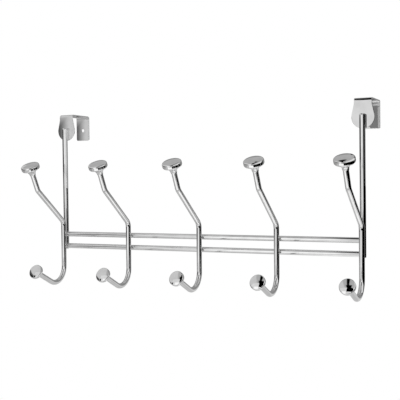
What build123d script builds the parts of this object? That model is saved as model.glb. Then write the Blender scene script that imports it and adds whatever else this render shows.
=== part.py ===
"""Over-door hook rack: two folded door brackets, a welded rod frame and a row of double wire hooks."""
import os
from math import acos, atan2, cos, hypot, radians, sin, tan

from build123d import *

# Millimetres. X runs along the rails, Y from the room into the door, Z up. The origin lies midway
# between the two brackets, on the front top edge of the door that the rack hangs on.

# Door brackets: each is one strip of sheet steel, folded over the top of the door
door_gap = 37.0               # clear depth between the two plates
sheet_thickness = 1.5
fold_radius = 1.5             # inside radius of the two folds
strip_width = 20.5
pad_radius = 13.2             # round weld pad at the foot of the front plate
pad_centre_drop = 19.8        # all drops are measured down from the top edge of the door
shoulder_drop = 5.0           # where the strip starts to widen towards the pad
shoulder_radius = 12.0
back_plate_drop = 31.2
back_corner_radius = 2.0
screw_hole_diameter = 4.5
screw_hole_drop = 17.5
edge_round = 0.6              # radius of the rolled edges all round the strip

# Rod frame: two uprights with two rails butted between them
upright_diameter = 6.8
upright_top_drop = 16.5
upright_tail = 1.2            # length of upright left below the lower rail
rod_end_round = 1.6
rail_diameter = 6.4
upper_rail_drop = 157.2
rail_pitch = 15.5

# Hooks: one bent wire each, in a plane across the rails
hook_count = 5
hook_spacing = 100.0
wire_diameter = 6.4
arm_root_drop = 140.8         # where the arm leaves the shank
arm_reach = 53.4              # from the shank forward to the knee
arm_rise = 42.0               # from the root up to the knee
arm_root_radius = 10.0
knee_radius = 10.0
tip_lean = 25.8               # degrees forward from upright
tip_length = 32.0             # from the knee to the wire's end in the upper knob
crook_drop = 218.7            # lowest point of the wire's centre line
crook_radius = 20.0
crook_rise = 27.0             # degrees above level at which the wire runs out to the lower knob
crook_length = 32.0           # straight run from the crook to the wire's end in the lower knob

# Knobs: turned buttons with a crowned face, a straight side between two rounded edges and a
# trumpet-shaped neck, pressed on the wire's two ends
upper_knob_radius = 11.5
upper_knob_rim = 6.6          # thickness of the button from edge to edge
upper_knob_edge = 2.2         # radius of its two rounded edges
upper_knob_crown = 1.2        # rise of the face above the rim
upper_knob_neck = 10.8        # from the rim's middle down to the end of the neck
upper_knob_cap = 0.5          # rim's middle above the wire's end
lower_knob_radius = 9.0
lower_knob_rim = 4.4
lower_knob_edge = 1.2
lower_knob_crown = 1.2
lower_knob_neck = 7.0
lower_knob_cap = 2.4
neck_wall = 0.4
socket_clearance = 0.05

# Welds: how far one piece beds into the next
weld_set = 0.25

wire_radius = wire_diameter / 2
rail_radius = rail_diameter / 2
upright_radius = upright_diameter / 2
frame_half_span = hook_spacing * (hook_count - 1) / 2
frame_y = -sheet_thickness - upright_radius + weld_set
hook_y = frame_y - rail_radius - wire_radius + weld_set
rail_drops = (upper_rail_drop, upper_rail_drop + rail_pitch)


def fold_section():
    """Section of the folded strip across the door: an upside-down U with rounded folds."""
    depth = max(back_plate_drop, pad_centre_drop + pad_radius)
    outside = Rectangle(door_gap + 2 * sheet_thickness, depth + sheet_thickness, align=(Align.MIN, Align.MAX))
    outside = Pos(-sheet_thickness, sheet_thickness) * outside
    inside = Rectangle(door_gap, depth, align=(Align.MIN, Align.MAX))
    outside = fillet(outside.vertices().group_by(Axis.Y)[-1], fold_radius + sheet_thickness)
    inside = fillet(inside.vertices().group_by(Axis.Y)[-1], fold_radius)
    return outside - inside


def front_outline():
    """Front plate: the strip flares on two tangent lines into the round weld pad."""
    half = strip_width / 2
    rise = pad_centre_drop - shoulder_drop
    tangent_angle = atan2(rise, half) - acos(pad_radius / hypot(rise, half))
    tangent_x = pad_radius * cos(tangent_angle)
    tangent_z = -pad_centre_drop + pad_radius * sin(tangent_angle)
    right_side = [(half, sheet_thickness), (half, -shoulder_drop), (tangent_x, tangent_z)]
    left_side = [(-x, z) for x, z in reversed(right_side)]
    flare = make_face(Polyline(*right_side, *left_side, close=True))
    outline = flare + Pos(0, -pad_centre_drop) * Circle(pad_radius)
    shoulders = [v for v in outline.vertices() if abs(v.Y + shoulder_drop) < 1e-6]
    return fillet(shoulders, shoulder_radius)


def back_outline():
    """Back plate: a plain strip with eased lower corners."""
    height = back_plate_drop + sheet_thickness
    plate = Pos(0, sheet_thickness) * Rectangle(strip_width, height, align=(Align.CENTER, Align.MAX))
    return fillet(plate.vertices().group_by(Axis.Y)[0], back_corner_radius)


def corner_edges(solid):
    """Edges where two faces meet at a corner, rather than run smoothly into each other."""
    corners = []
    for edge in solid.edges():
        faces = [f for f in solid.faces() if any(edge.is_same(e) for e in f.edges())]
        normals = [f.normal_at(edge @ 0.5) for f in faces]
        if len(normals) == 2 and abs(normals[0].dot(normals[1])) < 0.7:
            corners.append(edge)
    return corners


def make_bracket(x):
    """The folded strip, trimmed to the two plates' outlines, its edges rolled and its screw hole drilled."""
    fold = extrude(Plane.YZ * fold_section(), amount=max(pad_radius, strip_width), both=True)
    middle = door_gap / 2
    half_depth = middle + sheet_thickness
    front = extrude(Plane.XZ.offset(-middle) * front_outline(), amount=half_depth)
    back = extrude(Plane.XZ.offset(-middle - half_depth) * back_outline(), amount=half_depth)
    strip = fold & (front + back)
    strip = fillet(corner_edges(strip), min(edge_round, 0.4 * sheet_thickness))
    drill = Cylinder(screw_hole_diameter / 2, 2 * half_depth, rotation=(90, 0, 0))
    drill = Pos(0, door_gap + sheet_thickness, -screw_hole_drop) * drill
    return Pos(x, 0, 0) * (strip - drill)


def make_upright(x):
    """A straight rod with eased ends, from the weld pad to just below the lower rail."""
    foot = -rail_drops[-1] - rail_radius - upright_tail
    length = -upright_top_drop - foot
    rod = Cylinder(upright_radius, length, align=(Align.CENTER, Align.CENTER, Align.MIN))
    rod = fillet(rod.edges().filter_by(GeomType.CIRCLE), min(rod_end_round, 0.8 * upright_radius))
    return Pos(x, frame_y, foot) * rod


def make_rail(drop):
    """A straight rod from the middle of one upright to the middle of the other, before coping."""
    rod = Cylinder(rail_radius, 2 * frame_half_span, rotation=(0, 90, 0))
    return Pos(0, frame_y, -drop) * rod


# The wire's corner points in its own plane, as (y, z), from the knee round to the lower knob
root = (hook_y, -arm_root_drop)
knee = (hook_y - arm_reach, -arm_root_drop + arm_rise)
tip_direction = (-sin(radians(tip_lean)), cos(radians(tip_lean)))
crook_direction = (-cos(radians(crook_rise)), sin(radians(crook_rise)))
crook_turn = radians(90 + crook_rise)
crook_tangent = crook_radius * tan(crook_turn / 2)
crook_corner = (hook_y, -crook_drop + crook_radius - crook_tangent)


def along(start, direction, distance):
    return (start[0] + direction[0] * distance, start[1] + direction[1] * distance)


tip_end = along(knee, tip_direction, tip_length)
crook_end = along(crook_corner, crook_direction, crook_tangent + crook_length)


def make_hook(x):
    """One wire, bent at the knee, at the arm's root and round the crook."""
    corners = [(x, y, z) for y, z in (tip_end, knee, root, crook_corner, crook_end)]
    path = FilletPolyline(*corners, radius=[knee_radius, arm_root_radius, crook_radius])
    return sweep((path ^ 0) * Circle(wire_radius), path=path)


def make_knob(radius, rim, edge, crown, neck, cap):
    """Crowned face, straight side with rounded edges and trumpet neck, each running smoothly into the
    next, and a blind socket whose floor is at the origin."""
    socket_radius = wire_radius + socket_clearance
    neck_radius = socket_radius + neck_wall
    edge = min(edge, 0.45 * rim)
    edge_x = radius - edge
    side_top = cap + rim / 2 - edge
    side_foot = cap - rim / 2 + edge
    crown_top = (0, cap + rim / 2 + crown)
    neck_foot = (neck_radius, cap - neck)
    reach = edge_x - neck_radius
    drop = side_foot - neck_foot[1]
    face_radius = (edge_x**2 + crown * (2 * edge + crown)) / (2 * crown)
    face_rise = side_top - crown_top[1] + face_radius
    face_reach = hypot(edge_x, face_rise)
    flare_radius = (reach**2 + drop**2 - edge**2) / (2 * (reach + edge))
    flare_run = neck_radius + flare_radius - edge_x
    flare_reach = hypot(flare_run, drop)
    face_edge = along((edge_x, side_top), (edge_x / face_reach, face_rise / face_reach), edge)
    flare_edge = along((edge_x, side_foot), (flare_run / flare_reach, -drop / flare_reach), edge)
    outline = [
        TangentArc(crown_top, face_edge, tangent=(1, 0)),
        TangentArc((radius, side_top), face_edge, tangent=(0, 1)),
        Line((radius, side_top), (radius, side_foot)),
        TangentArc((radius, side_foot), flare_edge, tangent=(0, -1)),
        TangentArc(neck_foot, flare_edge, tangent=(0, 1)),
        Polyline(neck_foot, (socket_radius, neck_foot[1]), (socket_radius, 0), (0, 0), crown_top),
    ]
    return revolve(Plane.XZ * make_face(outline), axis=Axis.Z)


def seat_knob(knob, x, end, direction):
    """Places a knob with its socket floor on the wire's end."""
    return Plane(origin=(x, *end), x_dir=(1, 0, 0), z_dir=(0, *direction)) * knob


hook_places = [hook_spacing * i - frame_half_span for i in range(hook_count)]
hooks = [make_hook(x) for x in hook_places]
uprights = [make_upright(x) for x in (-frame_half_span, frame_half_span)]
brackets = [make_bracket(x) for x in (-frame_half_span, frame_half_span)]
rails = [make_rail(drop) for drop in rail_drops]
upper_knob = make_knob(
    upper_knob_radius, upper_knob_rim, upper_knob_edge, upper_knob_crown, upper_knob_neck, upper_knob_cap
)
lower_knob = make_knob(
    lower_knob_radius, lower_knob_rim, lower_knob_edge, lower_knob_crown, lower_knob_neck, lower_knob_cap
)

nodes = {}
for side, bracket, upright, hook in zip(("left", "right"), brackets, uprights, (hooks[0], hooks[-1])):
    nodes[f"bracket_{side}"] = bracket
    nodes[f"upright_{side}"] = upright - bracket - hook
for name, rail in zip(("upper", "lower"), rails):
    nodes[f"rail_{name}"] = rail - uprights - hooks
for number, (x, hook) in enumerate(zip(hook_places, hooks), start=1):
    nodes[f"hook_{number}"] = hook
    nodes[f"upper_knob_{number}"] = seat_knob(upper_knob, x, tip_end, tip_direction)
    nodes[f"lower_knob_{number}"] = seat_knob(lower_knob, x, crook_end, crook_direction)

os.makedirs("parts", exist_ok=True)
for name, solid in nodes.items():
    export_step(solid, f"parts/{name}.step")
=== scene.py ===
import math

import bpy
from mathutils import Matrix, Vector

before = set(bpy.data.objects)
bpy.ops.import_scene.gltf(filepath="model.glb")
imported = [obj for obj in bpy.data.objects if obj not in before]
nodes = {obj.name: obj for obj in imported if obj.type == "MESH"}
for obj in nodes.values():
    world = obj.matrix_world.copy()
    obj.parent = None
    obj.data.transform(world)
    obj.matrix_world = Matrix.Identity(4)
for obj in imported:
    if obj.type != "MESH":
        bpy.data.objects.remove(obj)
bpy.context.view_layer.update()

# Door brackets: two strips of mild steel sheet, each stamped to its outline, folded twice to sit over the
# top of a door and chrome plated. The front plate ends in a round pad for the upright, the back plate has
# one screw hole, and the stamping leaves a slightly rolled edge all round.


class Socket:
    """A shader value: arithmetic on it adds Math nodes, and node() adds a node of any other kind."""

    def __init__(self, tree, output=None):
        self.tree = tree
        self.output = output

    def node(self, kind, settings=None, inputs=None, output=0):
        made = self.tree.nodes.new(kind)
        for name, value in (settings or {}).items():
            if name == "stops":
                elements = made.color_ramp.elements
                while len(elements) < len(value):
                    elements.new(1.0)
                for element, (position, grey) in zip(elements, value):
                    element.position = position
                    element.color = (grey, grey, grey, 1)
            else:
                setattr(made, name, value)
        for name, value in (inputs or {}).items():
            if isinstance(value, Socket):
                self.tree.links.new(value.output, made.inputs[name])
            else:
                made.inputs[name].default_value = value
        return Socket(self.tree, made.outputs[output] if made.outputs else None)

    def math(self, operation, *values):
        return self.node("ShaderNodeMath", {"operation": operation}, dict(enumerate(values)))

    def __add__(self, other):
        return self.math("ADD", self, other)

    def __sub__(self, other):
        return self.math("SUBTRACT", self, other)

    def __rsub__(self, other):
        return self.math("SUBTRACT", other, self)

    def __mul__(self, other):
        return self.math("MULTIPLY", self, other)

    __radd__ = __add__
    __rmul__ = __mul__


def bare_nodes(owner):
    """Empties the node tree of a material or world, and gives the socket that its nodes start from."""
    owner.use_nodes = True
    owner.node_tree.nodes.clear()
    return Socket(owner.node_tree)


plating_clear = (0.80, 0.80, 0.80, 1)
plating_toned = (0.72, 0.72, 0.72, 1)
toning_stops = ((0.42, 0.0), (0.72, 1.0))
haze_detail = 3.0
grain_detail = 2.0
grain_relief = 0.05
grain_dulling = 0.3


def plated_steel(name, haze_size, grain, grain_depth, polish, spread):
    """Bright chrome: a clear mirror with faint haze, drawn or rolled grain and a slow toning of its colour.

    The grain is given as its fineness along X, Y and Z, and is long where that number is small.
    """
    material = bpy.data.materials.new(name)
    start = bare_nodes(material)
    place = start.node("ShaderNodeTexCoord", output="Object")
    haze = start.node(
        "ShaderNodeTexNoise", None, {"Vector": place, "Scale": 1 / haze_size, "Detail": haze_detail}
    )
    stretched = start.node("ShaderNodeVectorMath", {"operation": "MULTIPLY"}, {0: place, 1: grain})
    lines = start.node(
        "ShaderNodeTexNoise", None, {"Vector": stretched, "Scale": 1.0, "Detail": grain_detail}
    )
    toning = start.node("ShaderNodeValToRGB", {"stops": toning_stops}, {0: haze})
    colour = start.node(
        "ShaderNodeMix",
        {"data_type": "RGBA"},
        {0: toning, 6: plating_clear, 7: plating_toned},
        output=2,
    )
    relief = start.node(
        "ShaderNodeBump", None, {"Strength": grain_relief, "Distance": grain_depth, "Height": lines}
    )
    shine = start.node(
        "ShaderNodeBsdfPrincipled",
        None,
        {
            "Base Color": colour,
            "Metallic": 1.0,
            "Roughness": polish + spread * haze + grain_dulling * spread * lines,
            "Normal": relief,
        },
    )
    start.node("ShaderNodeOutputMaterial", None, {0: shine})
    return material


def finish_nodes(names, material):
    """Gives each of these CAD nodes one material all over."""
    for name in names:
        nodes[name].data.materials.clear()
        nodes[name].data.materials.append(material)


sheet_chrome = plated_steel(
    "sheet_chrome", haze_size=0.012, grain=(900, 150, 150), grain_depth=0.00001, polish=0.01, spread=0.02
)
finish_nodes(("bracket_left", "bracket_right"), sheet_chrome)

# Uprights and rails: straight lengths of drawn steel rod. The two rails are butted between the uprights,
# the uprights are welded on the bracket pads, and the whole frame is chrome plated after welding.

drawn_steel = {"haze_size": 0.009, "grain_depth": 0.000005, "polish": 0.004, "spread": 0.01}
upright_chrome = plated_steel("upright_chrome", grain=(900, 900, 60), **drawn_steel)
finish_nodes(("upright_left", "upright_right"), upright_chrome)
rail_chrome = plated_steel("rail_chrome", grain=(60, 900, 900), **drawn_steel)
finish_nodes(("rail_upper", "rail_lower"), rail_chrome)

# Hooks: five lengths of drawn steel wire, each bent three times in one plane: at the knee, at the root of
# the arm and round the crook. Every wire is welded to the front of both rails and plated with the frame,
# so the drawing lines still run along it under the chrome.

hook_count = 5
wire_chrome = plated_steel("wire_chrome", grain=(900, 300, 300), **drawn_steel)
finish_nodes([f"hook_{i + 1}" for i in range(hook_count)], wire_chrome)

# Knobs: steel buttons turned on a lathe, each with a crowned face, a straight side and a trumpet neck.
# They are polished and plated to a clearer mirror than the wire, and pressed on its two ends, a wide one
# at the top and a smaller one below.

knob_chrome = plated_steel(
    "knob_chrome", haze_size=0.006, grain=(400, 400, 400), grain_depth=0.000002, polish=0.004, spread=0.008
)
finish_nodes([f"{row}_knob_{i + 1}" for row in ("upper", "lower") for i in range(hook_count)], knob_chrome)

# Light tent: the rack hangs in a small tent of grey cloth, with bright panels and dark flags on its walls.
# Only the plating sees them, as bright metal shows nothing of its own but what stands round it. Some cards
# fade out towards their edges, as lit cloth does.

tent_low = Vector((-0.80, -0.90, -0.60))
tent_high = Vector((0.50, 0.60, 0.45))
walls = {
    "left": (0, tent_low.x, 1),
    "right": (0, tent_high.x, -1),
    "front": (1, tent_low.y, 1),
    "back": (1, tent_high.y, -1),
    "floor": (2, tent_low.z, 1),
    "roof": (2, tent_high.z, -1),
}
cards_hung = {wall: 0 for wall in walls}
card_step = 0.002
white_light = (1, 1, 1, 1)


def flat_sheet(name, corners):
    """One flat sheet with four corners, set up in the room."""
    mesh = bpy.data.meshes.new(name)
    mesh.from_pydata(corners, [], [(0, 1, 2, 3)])
    made = bpy.data.objects.new(name, mesh)
    bpy.context.scene.collection.objects.link(made)
    return made


def cloth(name, grey, directions, middle, half, fade):
    """The light that a card gives, even over its face and dying away across the fade at its edges."""
    material = bpy.data.materials.new(name)
    start = bare_nodes(material)
    light = start.node("ShaderNodeEmission", None, {"Color": white_light, "Strength": grey})
    if fade:
        place = start.node("ShaderNodeTexCoord", output="Object")
        inside = [
            h - start.math("ABSOLUTE", start.node("ShaderNodeSeparateXYZ", None, {0: place}, d) - m)
            for d, m, h in zip(directions, middle, half)
        ]
        nearest = start.math("MINIMUM", *inside)
        cover = start.node(
            "ShaderNodeMapRange", {"interpolation_type": "SMOOTHSTEP"}, {"Value": nearest, "From Max": fade}
        )
        gone = start.node("ShaderNodeBsdfTransparent")
        light = start.node("ShaderNodeMixShader", None, {0: cover, 1: gone, 2: light})
    start.node("ShaderNodeOutputMaterial", None, {0: light})
    return material


def wall_directions(wall):
    """The two directions, 0 to 2 for X to Z, that run along a wall of the tent."""
    return [d for d in range(3) if d != walls[wall][0]]


def card(name, wall, across, along, grey, fade=0.0, stand=None):
    """A card on one wall of the tent, each a little in front of the one hung before it."""
    directions = wall_directions(wall)
    if stand is None:
        level, inward = walls[wall][1:]
        stand = level + inward * card_step * cards_hung[wall]
        cards_hung[wall] += 1
    corners = []
    for u, v in ((0, 0), (1, 0), (1, 1), (0, 1)):
        corner = [stand, stand, stand]
        corner[directions[0]] = across[u]
        corner[directions[1]] = along[v]
        corners.append(corner)
    made = flat_sheet(name, corners)
    middle = [(across[0] + across[1]) / 2, (along[0] + along[1]) / 2]
    half = [(across[1] - across[0]) / 2, (along[1] - along[0]) / 2]
    made.data.materials.append(cloth(name, grey, directions, middle, half, fade))
    made.visible_camera = False
    made.visible_diffuse = False
    made.visible_shadow = False


# The greys of the cloths and cards, and two widths of soft edge. The cards on the walls lie on a 5 cm grid.
wall_greys = {"left": 0.4, "front": 0.85, "right": 0.3, "back": 0.3, "floor": 0.6, "roof": 0.5}
black = 0.0
dark = 0.1
pale = 0.7
bright = 0.9
lit = 1.2
soft_edge = 0.05
wide_edge = 0.10

for wall, grey in wall_greys.items():
    card(f"tent_{wall}", wall, *[(tent_low[d], tent_high[d]) for d in wall_directions(wall)], grey)

# Left wall: pale above, with a dark seam level with the brackets that dips towards the front.
card("left_top", "left", (-1.00, 0.40), (-0.10, 0.50), pale, soft_edge)
card("left_seam", "left", (-0.85, 0.65), (-0.10, 0.10), dark, soft_edge)
card("left_dip", "left", (-0.85, -0.15), (-0.25, 0.00), black, soft_edge)

# Front wall: a softbox left of the middle, black flags above and below at the right, and the dark corner
# where the front and left cloths meet.
card("front_softbox", "front", (-0.45, -0.05), (-0.55, 0.15), lit, soft_edge)
card("front_high_flag", "front", (-0.05, 0.45), (0.10, 0.45), black)
card("front_low_flag", "front", (0.05, 0.55), (-0.65, -0.30), black, soft_edge)
card("front_corner", "front", (-0.90, -0.60), (-0.30, 0.15), black, soft_edge)

# Right wall: bright above, pale at the foot, and a long black flag between them that drops in front.
card("right_top", "right", (-0.95, 0.20), (-0.15, 0.50), bright)
card("right_low", "right", (-0.45, 0.60), (-0.60, -0.25), pale)
card("right_flag", "right", (-0.40, 0.50), (-0.40, -0.10), black)
card("right_front_flag", "right", (-0.95, -0.25), (-0.65, -0.20), black, soft_edge)

# Back wall: pale below. Roof: pale at the left, with a black slot right of the middle that widens in front.
card("back_low", "back", (-0.55, 0.55), (-0.70, -0.20), pale, wide_edge)
card("roof_left", "roof", (-0.90, -0.20), (-1.00, 0.00), pale, wide_edge)
card("roof_slot", "roof", (-0.05, 0.15), (-1.00, 0.10), black, soft_edge)
card("roof_front", "roof", (-0.15, 0.35), (-1.00, -0.55), black, wide_edge)

# Tent floor: white sheets in front of the hooks and under the right end, and black cloth towards the camera.
card("floor_right", "floor", (-0.05, 0.45), (-0.20, 0.20), lit, wide_edge)
card("floor_middle", "floor", (-0.35, 0.50), (-0.60, -0.35), lit)
card("floor_front", "floor", (-0.10, 0.55), (-1.00, -0.60), black, soft_edge)
card("floor_corner", "floor", (0.20, 0.55), (-0.95, -0.45), black, soft_edge)

# A narrow black flag close to the right end, beside the bracket and the upright, cut back at its foot
# where it would show in the last hook's arm.
near_stand = 0.23
near_back = 0.01
near_cut = -0.12
card("near_flag", "right", (-0.045, near_back), (near_cut, 0.02), black, stand=near_stand)
card("near_flag_foot", "right", (-0.025, near_back), (-0.15, near_cut), black, stand=near_stand)

# Floor: a broad sheet of pale matt board under the tent. It keeps the rack's soft shadow below the rack and
# turns plain white further off, so that the background has no edge.

floor_reach = 6.0
floor_height = -0.65
floor_grey = (0.88, 0.88, 0.88, 1)
shadow_reach = 0.35
white_from = 0.95


def seen_directly(start):
    """1 where the camera looks, also by way of metal or glass, and 0 for light that falls on a surface."""
    camera_ray = start.node("ShaderNodeLightPath", output="Is Camera Ray")
    glossy_ray = start.node("ShaderNodeLightPath", output="Is Glossy Ray")
    glass_ray = start.node("ShaderNodeLightPath", output="Is Transmission Ray")
    return start.math("MINIMUM", camera_ray + glossy_ray + glass_ray, 1.0)


floor_corners = ((-1, -1), (1, -1), (1, 1), (-1, 1))
floor = flat_sheet("floor", [(x * floor_reach, y * floor_reach, floor_height) for x, y in floor_corners])
floor_paint = bpy.data.materials.new("floor_paint")
start = bare_nodes(floor_paint)
place = start.node("ShaderNodeTexCoord", output="Object")
level_place = start.node("ShaderNodeVectorMath", {"operation": "MULTIPLY"}, {0: place, 1: (1, 1, 0)})
away = start.node("ShaderNodeVectorMath", {"operation": "LENGTH"}, {0: level_place}, "Value")
far_off = start.node(
    "ShaderNodeMapRange",
    {"interpolation_type": "SMOOTHSTEP"},
    {"Value": away, "From Min": shadow_reach, "From Max": white_from},
)
matt_board = start.node("ShaderNodeBsdfDiffuse", None, {"Color": floor_grey})
plain_white = start.node("ShaderNodeEmission", None, {"Color": white_light, "Strength": 1.0})
board = start.node(
    "ShaderNodeMixShader", None, {0: seen_directly(start) * far_off, 1: matt_board, 2: plain_white}
)
start.node("ShaderNodeOutputMaterial", None, {0: board})
floor.data.materials.append(floor_paint)

# Room and lamp: an even soft light from all sides, which the camera sees as plain white, and one weak
# softbox overhead. The plating doesn't show the softbox, because the tent gives it its reflections.

room_grey = (0.8, 0.8, 0.8, 1)
room_strength = 0.7
world = bpy.data.worlds.new("studio")
bpy.context.scene.world = world
start = bare_nodes(world)
room_light = start.node("ShaderNodeBackground", None, {"Color": room_grey, "Strength": room_strength})
backdrop = start.node("ShaderNodeBackground", None, {"Color": white_light, "Strength": 1.0})
room = start.node("ShaderNodeMixShader", None, {0: seen_directly(start), 1: room_light, 2: backdrop})
start.node("ShaderNodeOutputWorld", None, {0: room})

lamp_width = 0.6
lamp_depth = 0.5
lamp_watts = 3.0
lamp_place = (0.0, -0.05, 0.6)
lamp_data = bpy.data.lights.new("overhead_softbox", "AREA")
lamp_data.shape = "RECTANGLE"
lamp_data.size = lamp_width
lamp_data.size_y = lamp_depth
lamp_data.energy = lamp_watts
lamp = bpy.data.objects.new("overhead_softbox", lamp_data)
lamp.location = lamp_place
lamp.visible_glossy = False
bpy.context.scene.collection.objects.link(lamp)

# Camera: nearly level with the rack's middle, standing towards its right end and held a little askew. Its
# focal length is given in pixels of the square frame, and turned into millimetres of the sensor below.

camera_azimuth = math.radians(26.0)
camera_elevation = math.radians(1.3)
camera_roll = math.radians(-0.7)
camera_distance = 0.95
camera_target = Vector((0.002, -0.011, -0.112))
focal_pixels = 783
frame_pixels = 400
sensor_width = 36.0
back = Vector(
    (
        math.sin(camera_azimuth) * math.cos(camera_elevation),
        -math.cos(camera_azimuth) * math.cos(camera_elevation),
        math.sin(camera_elevation),
    )
)
level = Vector((math.cos(camera_azimuth), math.sin(camera_azimuth), 0))
upward = back.cross(level)
right = level * math.cos(camera_roll) + upward * math.sin(camera_roll)
up = upward * math.cos(camera_roll) - level * math.sin(camera_roll)
camera_data = bpy.data.cameras.new("camera")
camera_data.sensor_width = sensor_width
camera_data.lens = sensor_width * focal_pixels / frame_pixels
camera = bpy.data.objects.new("camera", camera_data)
axes = Matrix((right, up, back)).transposed()
camera.matrix_world = Matrix.Translation(camera_target + back * camera_distance) @ axes.to_4x4()
bpy.context.scene.collection.objects.link(camera)
bpy.context.scene.camera = camera
bpy.context.scene.view_settings.view_transform = "Standard"
